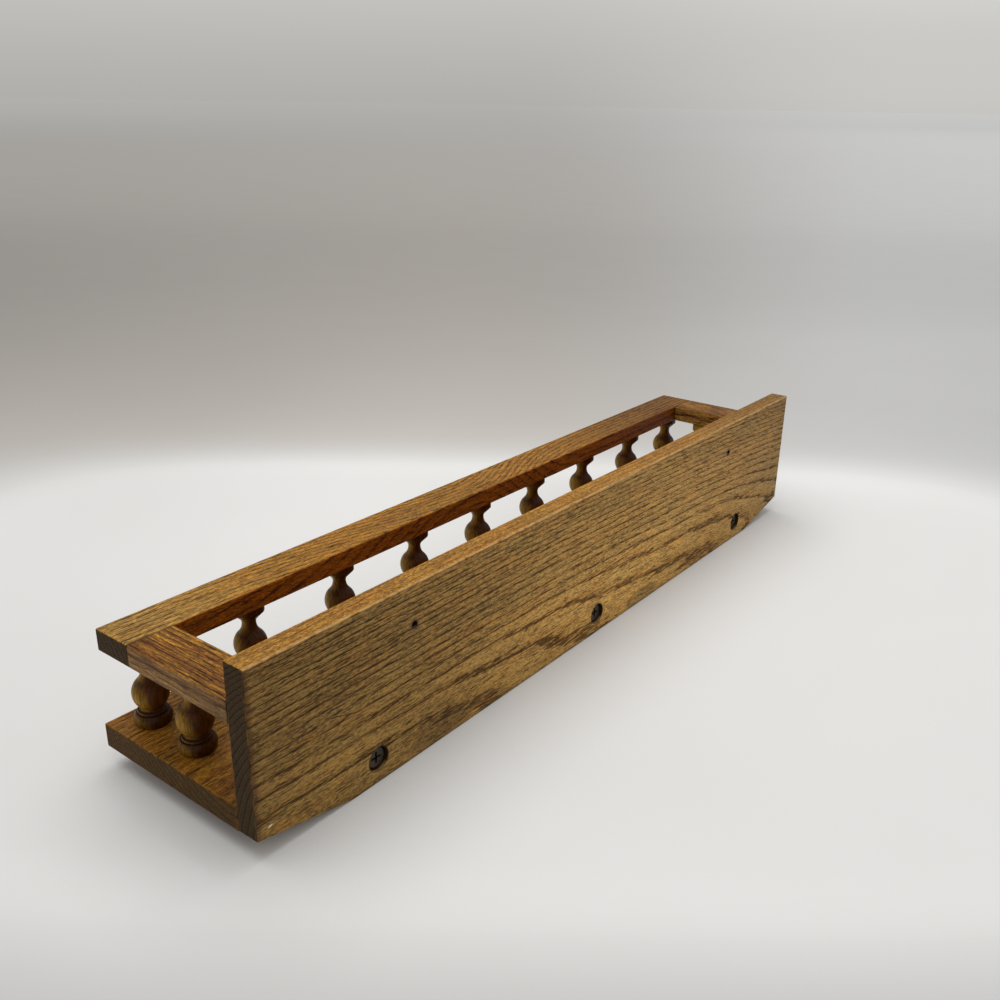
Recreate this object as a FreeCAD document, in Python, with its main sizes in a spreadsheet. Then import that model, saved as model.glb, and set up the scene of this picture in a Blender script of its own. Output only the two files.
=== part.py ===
import FreeCAD, Part
import math
import os
import Sketcher
from FreeCAD import Placement, Rotation, Vector

# Wall plate rack in oak: a back board, a shelf screwed to it through its rear
# face, and a gallery of turned spindles that carries a flat rail round three
# sides of the shelf.
#
# Frame: +Z up, the rear (wall) face looks to +Y and the plate side to -Y, +X
# is the right-hand end seen from the front.  The origin is under the middle
# of the rack, level with the lowest edge of the back board.

os.makedirs("parts", exist_ok=True)
doc = FreeCAD.newDocument("wall_plate_rack")

# ---------------------------------------------------------------- dimensions
sheet = doc.addObject("Spreadsheet::Sheet", "dimensions")
CELLS = [
    # overall
    ("rack_length", 406.4), ("rack_depth", 86.0), ("back_height", 73.5),
    # boards
    ("back_thick", 9.8), ("clip_run", 43.0), ("clip_rise", 8.8),
    ("shelf_thick", 9.8), ("shelf_under", 8.3), ("shelf_depth", 76.2),
    ("edge_ease", 0.5),
    # rails
    ("rail_wide", 19.3), ("rail_thick", 8.9), ("rail_ease", 0.7),
    ("rail_setback", 3.0),
    # spindles
    ("spindle_tall", 32.0), ("tenon_radius", 2.4), ("tenon_long", 5.0),
    ("mortise_radius", 2.45), ("mortise_deep", 5.4),
    ("base_radius", 7.0), ("base_edge", 6.1), ("base_top", 5.0),
    ("bead_radius", 5.55), ("bead_edge", 5.15), ("bead_top", 6.2),
    ("cove_edge", 4.75), ("cove_radius", 4.4), ("cove_top", 7.7),
    ("bulb_radius", 6.8), ("bulb_mid", 12.9),
    ("neck_radius", 2.85), ("neck_mid", 22.3),
    ("flare_radius", 6.5), ("flare_low", 27.5),
    # spindle stations along the front, from the left end
    ("station_a", 12.7), ("station_b", 59.0), ("station_c", 108.6),
    ("station_d", 156.5), ("station_e", 202.9), ("station_f", 250.2),
    ("station_g", 298.3), ("station_i", 347.5), ("station_j", 393.7),
    ("side_station", 12.5), ("side_back", 46.5),
    # screws through the back board into the shelf
    ("screw_first", 56.6), ("screw_pitch", 146.8), ("screw_level", 10.1),
    ("recess_radius", 4.9), ("recess_deep", 5.0), ("shank_hole", 2.05),
    ("head_radius", 4.1), ("head_sunk", 1.4), ("screw_long", 31.75),
    ("root_radius", 1.1), ("thread_radius", 1.45), ("pilot_radius", 1.5),
    ("pilot_deep", 24.5),
    # two holes near the top edge that hang the rack on a wall
    ("hanger_pitch", 254.8), ("hanger_middle", 202.3),
    ("hanger_level", 57.2), ("hanger_radius", 1.3),
    # dowels in the rail joints
    ("dowel_radius", 2.0), ("dowel_hole", 2.05), ("dowel_long", 14.0),
    ("dowel_in_board", 6.0), ("dowel_in_rail", 9.0),
]
D = {}
for row, (alias, value) in enumerate(CELLS, start=1):
    sheet.set("A%d" % row, alias)
    sheet.set("B%d" % row, "%s" % value)
    sheet.setAlias("B%d" % row, alias)
    D[alias] = float(value)
doc.recompute()


def cell(text):
    """An expression in sheet aliases, written with their bare names."""
    out = []
    word = ""
    for ch in text + " ":
        if ch.isalpha() or ch == "_":
            word += ch
        else:
            if word:
                out.append("dimensions." + word if word in D else word)
            word = ""
            out.append(ch)
    return "(" + "".join(out).strip() + ")"


def val(text):
    """The number that such an expression stands for."""
    total = 0.0
    sign = 1.0
    for token in text.replace("+", " + ").replace("-", " - ").split():
        if token == "+":
            sign = 1.0
        elif token == "-":
            sign = -1.0
        else:
            product = 1.0
            for k, f in enumerate(token.replace("/", " / ").replace("*", " * ").split(" ")):
                if f == "*":
                    divide = False
                elif f == "/":
                    divide = True
                else:
                    number = D[f] if f in D else float(f)
                    if k and divide:
                        product /= number
                    else:
                        product *= number
            total += sign * product
            sign = 1.0
    return total


# ------------------------------------------------------------------- helpers
def body_named(label):
    body = doc.addObject("PartDesign::Body", label)
    body.Label = label
    return body


def plane_of(body, role):
    for feature in body.Origin.OriginFeatures:
        if feature.Role == role:
            return feature
    raise RuntimeError("no plane " + role)


def sketch_on(body, role, name, offset=None):
    """A sketch on one of the body's own planes, lifted off it by offset."""
    sk = body.newObject("Sketcher::SketchObject", name)
    sk.AttachmentSupport = [(plane_of(body, role), "")]
    sk.MapMode = "FlatFace"
    if offset:
        sk.AttachmentOffset = Placement(Vector(0, 0, val(offset)), Rotation())
        sk.setExpression("AttachmentOffset.Base.z", cell(offset) + " * 1 mm")
    return sk


def bind(sk, kind, args, text, name):
    """A named distance or radius in a sketch that follows the sheet."""
    index = sk.addConstraint(Sketcher.Constraint(kind, *args, val(text)))
    sk.renameConstraint(index, name)
    sk.setExpression("Constraints." + name, cell(text) + " * 1 mm")


def outline(sk, points):
    """A closed outline of straight lines.  Each point is a pair of
    expressions, measured from the sketch origin; an empty one is zero."""
    xy = [Vector(val(a) if a else 0, val(b) if b else 0, 0) for a, b in points]
    count = len(points)
    for i in range(count):
        sk.addGeometry(Part.LineSegment(xy[i], xy[(i + 1) % count]), False)
    for i in range(count):
        sk.addConstraint(Sketcher.Constraint("Coincident", i, 2, (i + 1) % count, 1))
    for i, (a, b) in enumerate(points):
        if a:
            bind(sk, "DistanceX", (-1, 1, i, 1), a, "px%d" % i)
        else:
            sk.addConstraint(Sketcher.Constraint("PointOnObject", i, 1, -2))
        if b:
            bind(sk, "DistanceY", (-1, 1, i, 1), b, "py%d" % i)
        else:
            sk.addConstraint(Sketcher.Constraint("PointOnObject", i, 1, -1))


def circles(sk, radius, centres):
    """Equal circles, placed from the sketch origin."""
    for i, (a, b) in enumerate(centres):
        sk.addGeometry(Part.Circle(Vector(val(a), val(b), 0), Vector(0, 0, 1), val(radius)), False)
        if i == 0:
            bind(sk, "Radius", (0,), radius, "radius")
        else:
            sk.addConstraint(Sketcher.Constraint("Equal", 0, i))
        bind(sk, "DistanceX", (-1, 1, i, 3), a, "cx%d" % i)
        bind(sk, "DistanceY", (-1, 1, i, 3), b, "cy%d" % i)


def pad(body, sk, text, name="pad"):
    feature = body.newObject("PartDesign::Pad", name)
    feature.Profile = sk
    feature.Length = val(text)
    feature.setExpression("Length", cell(text) + " * 1 mm")
    return feature


def pocket(body, sk, text, reverse, name):
    feature = body.newObject("PartDesign::Pocket", name)
    feature.Profile = sk
    feature.Length = val(text)
    feature.setExpression("Length", cell(text) + " * 1 mm")
    feature.Reversed = reverse
    return feature


def ease(body, base, text, keep, name="eased_edges"):
    """Round the edges whose middle point passes the test."""
    doc.recompute()
    names = []
    for i, edge in enumerate(base.Shape.Edges, start=1):
        mid = edge.valueAt((edge.FirstParameter + edge.LastParameter) / 2.0)
        if keep(mid):
            names.append("Edge%d" % i)
    feature = body.newObject("PartDesign::Fillet", name)
    feature.Base = (base, names)
    feature.Radius = val(text)
    feature.setExpression("Radius", cell(text) + " * 1 mm")
    return feature


def place(obj, x, y, z):
    """Put the sub-part where three expressions say."""
    obj.Placement = Placement(Vector(val(x), val(y), val(z)), Rotation())
    for axis, text in (("x", x), ("y", y), ("z", z)):
        obj.setExpression("Placement.Base." + axis, cell(text) + " * 1 mm")


def must_cut(body, before, after):
    """A cut that removed nothing is a mistake in its direction."""
    doc.recompute()
    if not after.Shape.Volume < before.Shape.Volume - 0.5:
        raise RuntimeError("%s: %s cuts nothing" % (body.Label, after.Name))


# ---------------------------------------------------------------- back board
# Local frame: left bottom corner of the rear face; the board goes to -Y.
# Both lower corners are sawn off at a low slope, so the middle of the lower
# edge hangs below the shelf and the ends finish level with its underside.
back = body_named("back_board")
sk = sketch_on(back, "XZ_Plane", "back_outline")
outline(sk, [
    ("clip_run", ""), ("rack_length-clip_run", ""), ("rack_length", "clip_rise"),
    ("rack_length", "back_height"), ("", "back_height"), ("", "clip_rise"),
])
back_pad = pad(back, sk, "back_thick")
back_edges = ease(back, back_pad, "edge_ease", lambda p: True)

# three shank holes with wide flat-bottomed recesses, drilled from the rear
sk = sketch_on(back, "XZ_Plane", "first_recess")
circles(sk, "recess_radius", [("screw_first", "screw_level")])
recess = pocket(back, sk, "recess_deep", True, "recess")
must_cut(back, back_edges, recess)
sk = sketch_on(back, "XZ_Plane", "first_shank_hole")
circles(sk, "shank_hole", [("screw_first", "screw_level")])
shank = pocket(back, sk, "back_thick+1", True, "shank_hole_cut")
must_cut(back, recess, shank)
row = back.newObject("PartDesign::LinearPattern", "screw_row")
row.Originals = [recess, shank]
row.Direction = (plane_of(back, "X_Axis"), [""])
row.Occurrences = 3
row.Length = 2 * D["screw_pitch"]
row.setExpression("Length", cell("2*screw_pitch") + " * 1 mm")
back.Tip = row
must_cut(back, shank, row)

# hanger holes right through, near the upper edge
sk = sketch_on(back, "XZ_Plane", "hanger_centres")
circles(sk, "hanger_radius", [
    ("hanger_middle-hanger_pitch/2", "hanger_level"),
    ("hanger_middle+hanger_pitch/2", "hanger_level"),
])
hangers = pocket(back, sk, "back_thick+1", True, "hanger_holes")
must_cut(back, row, hangers)

# blind holes in the front face for the dowels of the side rails
RAIL_UNDER = "shelf_under+shelf_thick+spindle_tall"
sk = sketch_on(back, "XZ_Plane", "dowel_centres", "back_thick-dowel_in_board")
circles(sk, "dowel_hole", [
    ("rail_wide/2", RAIL_UNDER + "+rail_thick/2"),
    ("rack_length-rail_wide/2", RAIL_UNDER + "+rail_thick/2"),
])
back_dowels = pocket(back, sk, "dowel_in_board+1", True, "dowel_holes")
must_cut(back, hangers, back_dowels)
place(back, "0-rack_length/2", "rack_depth/2", "0")

# --------------------------------------------------------------- shelf board
# Local frame: left front corner of the underside.
shelf = body_named("shelf_board")
sk = sketch_on(shelf, "XY_Plane", "shelf_outline")
outline(sk, [("", ""), ("rack_length", ""), ("rack_length", "shelf_depth"), ("", "shelf_depth")])
shelf_pad = pad(shelf, sk, "shelf_thick")
shelf_edges = ease(shelf, shelf_pad, "edge_ease",
                   lambda p: p.y < D["shelf_depth"] - 0.01)

FRONT_ROW = "rail_setback+rail_wide/2"
SIDE_ROW = "rack_depth-side_back"
STATIONS = ["station_a", "station_b", "station_c", "station_d", "station_e",
            "station_f", "station_g", "station_i", "station_j"]
sk = sketch_on(shelf, "XY_Plane", "mortise_centres", "shelf_thick")
circles(sk, "mortise_radius",
        [(s, FRONT_ROW) for s in STATIONS] +
        [("side_station", SIDE_ROW), ("rack_length-side_station", SIDE_ROW)])
shelf_mortises = pocket(shelf, sk, "mortise_deep", False, "mortises")
must_cut(shelf, shelf_edges, shelf_mortises)

# pilot holes in the rear edge for the three screws
sk = sketch_on(shelf, "XZ_Plane", "pilot_centres", "0-shelf_depth")
circles(sk, "pilot_radius", [
    ("screw_first", "screw_level-shelf_under"),
    ("screw_first+screw_pitch", "screw_level-shelf_under"),
    ("screw_first+2*screw_pitch", "screw_level-shelf_under"),
])
pilots = pocket(shelf, sk, "pilot_deep", True, "pilots")
must_cut(shelf, shelf_mortises, pilots)
place(shelf, "0-rack_length/2", "0-rack_depth/2", "shelf_under")

# ---------------------------------------------------------------- front rail
# Local frame: left front corner of the underside.
rail = body_named("front_rail")
sk = sketch_on(rail, "XY_Plane", "rail_outline")
outline(sk, [("", ""), ("rack_length", ""), ("rack_length", "rail_wide"), ("", "rail_wide")])
rail_pad = pad(rail, sk, "rail_thick")
rail_edges = ease(rail, rail_pad, "rail_ease", lambda p: True)
sk = sketch_on(rail, "XY_Plane", "mortise_centres")
circles(sk, "mortise_radius", [(s, "rail_wide/2") for s in STATIONS])
rail_mortises = pocket(rail, sk, "mortise_deep", True, "mortises")
must_cut(rail, rail_edges, rail_mortises)
sk = sketch_on(rail, "XZ_Plane", "dowel_centres", "0-rail_wide")
circles(sk, "dowel_hole", [
    ("rail_wide/2", "rail_thick/2"), ("rack_length-rail_wide/2", "rail_thick/2"),
])
rail_dowels_cut = pocket(rail, sk, "dowel_in_board", True, "dowel_holes")
must_cut(rail, rail_mortises, rail_dowels_cut)
place(rail, "0-rack_length/2", "rail_setback-rack_depth/2", RAIL_UNDER)

# ---------------------------------------------------------------- side rails
# Local frame: left front corner of the underside; each end is sawn square
# and butts against the front rail and the back board.
SIDE_RUN = "rack_depth-back_thick-rail_setback-rail_wide"


def side_rail(label, mortise_x, x):
    body = body_named(label)
    sk = sketch_on(body, "XY_Plane", "rail_outline")
    outline(sk, [("", ""), ("rail_wide", ""), ("rail_wide", SIDE_RUN), ("", SIDE_RUN)])
    block = pad(body, sk, "rail_thick")
    run = val(SIDE_RUN)
    eased = ease(body, block, "rail_ease",
                 lambda p: 0.01 < p.y < run - 0.01 and
                 abs(p.x - D["rail_wide"] / 2) > 1 and abs(p.z - D["rail_thick"] / 2) > 1)
    sk = sketch_on(body, "XY_Plane", "mortise_centre")
    circles(sk, "mortise_radius", [(mortise_x, SIDE_ROW + "-rail_setback-rail_wide")])
    mortise = pocket(body, sk, "mortise_deep", True, "mortise")
    must_cut(body, eased, mortise)
    sk = sketch_on(body, "XZ_Plane", "front_dowel")
    circles(sk, "dowel_hole", [("rail_wide/2", "rail_thick/2")])
    front = pocket(body, sk, "dowel_in_rail", False, "front_dowel_hole")
    must_cut(body, mortise, front)
    sk = sketch_on(body, "XZ_Plane", "rear_dowel", "0-rack_depth+back_thick+rail_setback+rail_wide")
    circles(sk, "dowel_hole", [("rail_wide/2", "rail_thick/2")])
    rear = pocket(body, sk, "dowel_in_rail", True, "rear_dowel_hole")
    must_cut(body, front, rear)
    place(body, x, "rail_setback+rail_wide-rack_depth/2", RAIL_UNDER)
    return body


side_left = side_rail("side_rail_left", "side_station", "0-rack_length/2")
side_right = side_rail("side_rail_right", "rail_wide-side_station",
                       "rack_length/2-rail_wide")


# ------------------------------------------------------------------ spindles
# One turned shape for all eleven: a tenon, a round-edged base disc, a bead, a
# short cove, an onion-shaped bulb widest below its middle, a thin neck and a
# flare that ends in a plain band under the rail, and another tenon.
def turned_outline(sk):
    """Half section right of the sketch's vertical axis, from the lower tenon
    upwards.  Straight runs and arcs between points that follow the sheet."""
    tall = D["spindle_tall"]
    # the two long arcs of the bulb and neck meet where both point the same way
    reach = D["bulb_radius"] - D["neck_radius"]
    rise = D["neck_mid"] - D["bulb_mid"]
    both = (reach * reach + rise * rise) / (2.0 * reach)
    first = both * 0.55
    part = first / both
    c_one = Vector(D["bulb_radius"] - first, D["bulb_mid"], 0)
    c_two = Vector(D["neck_radius"] + both - first, D["neck_mid"], 0)
    meet = c_one + (c_two - c_one) * part
    # the small arc of the flare turns through forty degrees
    turn = math.radians(40.0)
    small = 3.0
    flare = Vector(D["neck_radius"] + small * (1 - math.cos(turn)),
                   D["neck_mid"] + 0.2 + small * math.sin(turn), 0)
    low = Vector(D["neck_radius"], D["neck_mid"] + 0.2, 0)

    def about(centre, a, b):
        """Short arc from a up to b round a centre, drawn anticlockwise, and
        whether its own start is a."""
        start = math.atan2(a.y - centre.y, a.x - centre.x)
        stop = math.atan2(b.y - centre.y, b.x - centre.x)
        forward = (stop - start) % (2 * math.pi) < math.pi
        if not forward:
            start, stop = stop, start
        if stop < start:
            stop += 2 * math.pi
        circle = Part.Circle(centre, Vector(0, 0, 1), (a - centre).Length)
        return Part.ArcOfCircle(circle, start, stop), forward

    def bulge(a, b, x):
        """Arc from a up to b, one above the other, whose middle reaches
        radius x."""
        half = (b.y - a.y) / 2.0
        deep = x - a.x
        radius = (half * half + deep * deep) / (2.0 * deep)
        return about(Vector(x - radius, (a.y + b.y) / 2.0, 0), a, b)

    p = [
        Vector(0, -D["tenon_long"], 0),
        Vector(D["tenon_radius"], -D["tenon_long"], 0),
        Vector(D["tenon_radius"], 0, 0),
        Vector(D["base_edge"], 0, 0),
        Vector(D["base_edge"], D["base_top"], 0),
        Vector(D["bead_edge"], D["base_top"], 0),
        Vector(D["bead_edge"], D["bead_top"], 0),
        Vector(D["cove_edge"], D["bead_top"], 0),
        Vector(D["cove_edge"], D["cove_top"], 0),
        Vector(D["bulb_radius"], D["bulb_mid"], 0),
        meet,
        Vector(D["neck_radius"], D["neck_mid"], 0),
        low,
        flare,
        Vector(D["flare_radius"], D["flare_low"], 0),
        Vector(D["flare_radius"], tall, 0),
        Vector(D["tenon_radius"], tall, 0),
        Vector(D["tenon_radius"], tall + D["tenon_long"], 0),
        Vector(0, tall + D["tenon_long"], 0),
    ]
    # the lower half of the bulb is round and stands upright at its widest
    out = D["bulb_radius"] - D["cove_edge"]
    up = D["bulb_mid"] - D["cove_top"]
    low_radius = (out * out + up * up) / (2.0 * out)
    low_centre = Vector(D["bulb_radius"] - low_radius, D["bulb_mid"], 0)
    runs = {
        3: lambda a, b: bulge(a, b, D["base_radius"]),
        5: lambda a, b: bulge(a, b, D["bead_radius"]),
        7: lambda a, b: bulge(a, b, D["cove_radius"]),
        8: lambda a, b: about(low_centre, a, b),
        9: lambda a, b: about(c_one, a, b),
        10: lambda a, b: about(c_two, a, b),
        12: lambda a, b: about(Vector(low.x + small, low.y, 0), a, b),
    }
    count = len(p)
    ends = {}
    for i in range(count):
        a, b = p[i], p[(i + 1) % count]
        if i in runs:
            shape, forward = runs[i](a, b)
        else:
            shape, forward = Part.LineSegment(a, b), True
        sk.addGeometry(shape, False)
        ends[i] = (1, 2) if forward else (2, 1)
    for i in range(count):
        j = (i + 1) % count
        # the bulb's upper arc runs into the arc of the neck with no corner
        kind = "Tangent" if i == 9 else "Coincident"
        sk.addConstraint(Sketcher.Constraint(kind, i, ends[i][1], j, ends[j][0]))
    sk.addConstraint(Sketcher.Constraint("PointOnObject", 0, ends[0][0], -2))
    sk.addConstraint(Sketcher.Constraint("PointOnObject", count - 1, ends[count - 1][0], -2))
    sk.addConstraint(Sketcher.Constraint("Horizontal", 2))
    sk.addConstraint(Sketcher.Constraint("Horizontal", 15))
    sk.addConstraint(Sketcher.Constraint("PointOnObject", 3, ends[3][0], -1))
    wanted = [
        (1, "x", "tenon_radius"), (2, "x", "tenon_radius"),
        (3, "x", "base_edge"), (4, "x", "base_edge"), (4, "y", "base_top"),
        (5, "x", "bead_edge"), (5, "y", "base_top"), (6, "x", "bead_edge"),
        (6, "y", "bead_top"), (7, "x", "cove_edge"), (7, "y", "bead_top"),
        (8, "x", "cove_edge"), (8, "y", "cove_top"), (9, "x", "bulb_radius"),
        (9, "y", "bulb_mid"), (11, "x", "neck_radius"), (11, "y", "neck_mid"),
        (12, "x", "neck_radius"), (14, "x", "flare_radius"),
        (14, "y", "flare_low"), (15, "x", "flare_radius"),
        (15, "y", "spindle_tall"), (16, "x", "tenon_radius"),
        (17, "x", "tenon_radius"), (17, "y", "spindle_tall+tenon_long"),
        (18, "y", "spindle_tall+tenon_long"),
    ]
    for i, axis, text in wanted:
        kind = "DistanceX" if axis == "x" else "DistanceY"
        bind(sk, kind, (-1, 1, i, ends[i][0]), text, "p%s%d" % (axis, i))
    # the bulb's arcs stand upright at its widest and at the neck
    for i in (8, 9):
        sk.addConstraint(Sketcher.Constraint("Horizontal", i, 3, 9, ends[9][0]))
    sk.addConstraint(Sketcher.Constraint("Horizontal", 10, 3, 11, ends[11][0]))
    # the lower tenon goes down from the origin, so it is measured upwards
    bind(sk, "DistanceY", (1, ends[1][0], -1, 1), "tenon_long", "tenon_down")
    bind(sk, "DistanceY", (0, ends[0][0], -1, 1), "tenon_long", "axis_down")


def spindle(label, x, y):
    body = body_named(label)
    sk = sketch_on(body, "XZ_Plane", "turned_outline")
    turned_outline(sk)
    turned = body.newObject("PartDesign::Revolution", "turned")
    turned.Profile = sk
    turned.ReferenceAxis = (sk, ["V_Axis"])
    turned.Angle = 360.0
    place(body, x, y, "shelf_under+shelf_thick")
    return body


FRONT_Y = "rail_setback+rail_wide/2-rack_depth/2"
SIDE_Y = "rack_depth/2-side_back"
SPINDLES = []
NAMES = ["spindle_corner_left", "spindle_front_a", "spindle_front_b",
         "spindle_front_c", "spindle_front_d", "spindle_front_e",
         "spindle_front_f", "spindle_front_g", "spindle_corner_right"]
for name, station in zip(NAMES, STATIONS):
    SPINDLES.append(spindle(name, station + "-rack_length/2", FRONT_Y))
SPINDLES.append(spindle("spindle_side_left", "side_station-rack_length/2", SIDE_Y))
SPINDLES.append(spindle("spindle_side_right", "rack_length/2-side_station", SIDE_Y))


# -------------------------------------------------------------------- screws
# Dark wood screws with trumpet-shaped cross-slot heads.  The thread is shown
# as rings on the root.  Local frame: middle of the head's face, the screw
# points to -Y, as it does in the rack.
def screw(name, index):
    body = body_named(name)
    sk = sketch_on(body, "XY_Plane", "half_section")
    head = D["head_radius"]
    root = D["root_radius"]
    crest = D["thread_radius"]
    length = D["screw_long"]
    pts = [Vector(0, 0, 0), Vector(head - 0.15, 0, 0), Vector(head, -0.15, 0),
           Vector(head, -0.55, 0), Vector(2.9, -1.75, 0), Vector(2.15, -3.0, 0),
           Vector(1.8, -4.6, 0), Vector(1.75, -7.0, 0), Vector(root, -7.4, 0)]
    y = -9.0
    while y > -(length - 5.0):
        pts += [Vector(root, y + 0.45, 0), Vector(crest, y, 0), Vector(root, y - 0.45, 0)]
        y -= 1.6
    pts += [Vector(root, -(length - 4.2), 0), Vector(0, -length, 0)]
    for i in range(len(pts)):
        sk.addGeometry(Part.LineSegment(pts[i], pts[(i + 1) % len(pts)]), False)
    for i in range(len(pts)):
        sk.addConstraint(Sketcher.Constraint("Coincident", i, 2, (i + 1) % len(pts), 1))
    sk.addConstraint(Sketcher.Constraint("Coincident", 0, 1, -1, 1))
    for i in range(1, len(pts) - 1):
        sk.addConstraint(Sketcher.Constraint("Block", i))
    turned = body.newObject("PartDesign::Revolution", "turned")
    turned.Profile = sk
    turned.ReferenceAxis = (sk, ["V_Axis"])
    turned.Angle = 360.0
    doc.recompute()
    # cross slot, sunk from the face of the head
    cross = sketch_on(body, "XZ_Plane", "cross_slot")
    arm, half = 2.35, 0.5
    ring = [(half, half), (arm, half), (arm, -half), (half, -half), (half, -arm),
            (-half, -arm), (-half, -half), (-arm, -half), (-arm, half),
            (-half, half), (-half, arm), (half, arm)]
    ring = [Vector(a, b, 0) for a, b in ring]
    for i in range(12):
        cross.addGeometry(Part.LineSegment(ring[i], ring[(i + 1) % 12]), False)
    for i in range(12):
        cross.addConstraint(Sketcher.Constraint("Coincident", i, 2, (i + 1) % 12, 1))
    slot = body.newObject("PartDesign::Pocket", "slot")
    slot.Profile = cross
    slot.Length = 2.0
    slot.Reversed = True
    must_cut(body, turned, slot)
    place(body, "screw_first+%d*screw_pitch-rack_length/2" % index,
          "rack_depth/2-head_sunk", "screw_level")
    return body


screws = [screw("screw_%d" % i, i) for i in range(3)]
shelf_screws = doc.addObject("Part::Compound", "shelf_screws")
shelf_screws.Label = "shelf_screws"
shelf_screws.Links = screws

# -------------------------------------------------------------------- dowels
# Four short round pins across the butt joints of the side rails.
DOWEL_Z = RAIL_UNDER + "+rail_thick/2"
dowels = []
for k, (x, y) in enumerate([
        ("rail_wide/2-rack_length/2", "rack_depth/2-back_thick+dowel_in_board-0.2"),
        ("rack_length/2-rail_wide/2", "rack_depth/2-back_thick+dowel_in_board-0.2"),
        ("rail_wide/2-rack_length/2", "rail_setback+rail_wide-rack_depth/2-dowel_in_board+0.2+dowel_long"),
        ("rack_length/2-rail_wide/2", "rail_setback+rail_wide-rack_depth/2-dowel_in_board+0.2+dowel_long")]):
    pin = doc.addObject("Part::Cylinder", "dowel_%d" % k)
    pin.Radius = D["dowel_radius"]
    pin.setExpression("Radius", cell("dowel_radius") + " * 1 mm")
    pin.Height = D["dowel_long"]
    pin.setExpression("Height", cell("dowel_long") + " * 1 mm")
    pin.Placement = Placement(Vector(val(x), val(y), val(DOWEL_Z)),
                              Rotation(Vector(1, 0, 0), 90))
    for axis, text in (("x", x), ("y", y), ("z", DOWEL_Z)):
        pin.setExpression("Placement.Base." + axis, cell(text) + " * 1 mm")
    dowels.append(pin)
rail_dowels = doc.addObject("Part::Compound", "rail_dowels")
rail_dowels.Label = "rail_dowels"
rail_dowels.Links = dowels

# ------------------------------------------------------------ check and write
doc.recompute()
for obj in doc.Objects:
    if any(word in obj.State for word in ("Invalid", "Error")):
        raise RuntimeError("%s failed: %s" % (obj.Name, obj.State))

nodes = [back, shelf, rail, side_left, side_right] + SPINDLES + [shelf_screws, rail_dowels]
for obj in nodes:
    shape = obj.Shape
    if shape.isNull() or not shape.isValid() or not shape.Solids:
        raise RuntimeError(obj.Label + " has no valid solid")
for obj in nodes:
    obj.Shape.exportStep(os.path.join("parts", obj.Label + ".step"))
    box = obj.Shape.BoundBox
    print("%-22s solids %d  volume %9.1f  box %.2f %.2f %.2f  %.2f %.2f %.2f" % (
        obj.Label, len(obj.Shape.Solids), obj.Shape.Volume,
        box.XMin, box.YMin, box.ZMin, box.XMax, box.YMax, box.ZMax))
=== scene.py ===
"""A wall plate rack of stained oak: a tall back board, a shelf, a rail on turned
spindles and three countersunk screws, on a pale floor under soft studio light.

Everything is in metres in the row frame. Inside the materials the coordinates are
turned into millimetres, because that is the scale of grain and pores."""
import math

import bpy
from mathutils import Matrix, Vector


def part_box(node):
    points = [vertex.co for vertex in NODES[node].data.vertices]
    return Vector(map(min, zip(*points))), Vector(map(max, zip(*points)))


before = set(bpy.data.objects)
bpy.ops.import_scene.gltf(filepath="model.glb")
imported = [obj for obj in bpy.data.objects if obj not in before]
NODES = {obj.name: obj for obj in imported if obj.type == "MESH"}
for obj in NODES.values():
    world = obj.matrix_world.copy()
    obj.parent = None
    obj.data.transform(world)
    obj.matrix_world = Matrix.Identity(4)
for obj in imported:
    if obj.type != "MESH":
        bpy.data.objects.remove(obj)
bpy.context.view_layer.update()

# ----------------------------------------------------------------------------
# Small language for node graphs: numbers and sockets mix freely in formulas.
# ----------------------------------------------------------------------------


class Value:
    """A single number in a graph."""

    def __init__(self, graph, socket):
        self.graph, self.socket = graph, socket

    def _op(self, kind, *others):
        return self.graph.math(kind, self, *others)

    def __add__(self, o):
        return self._op("ADD", o)

    def __radd__(self, o):
        return self.graph.math("ADD", o, self)

    def __sub__(self, o):
        return self._op("SUBTRACT", o)

    def __rsub__(self, o):
        return self.graph.math("SUBTRACT", o, self)

    def __mul__(self, o):
        return self._op("MULTIPLY", o)

    def __rmul__(self, o):
        return self.graph.math("MULTIPLY", o, self)

    def __truediv__(self, o):
        return self._op("DIVIDE", o)

    def __neg__(self):
        return self.graph.math("MULTIPLY", self, -1.0)

    def __pow__(self, o):
        return self._op("POWER", o)


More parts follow.
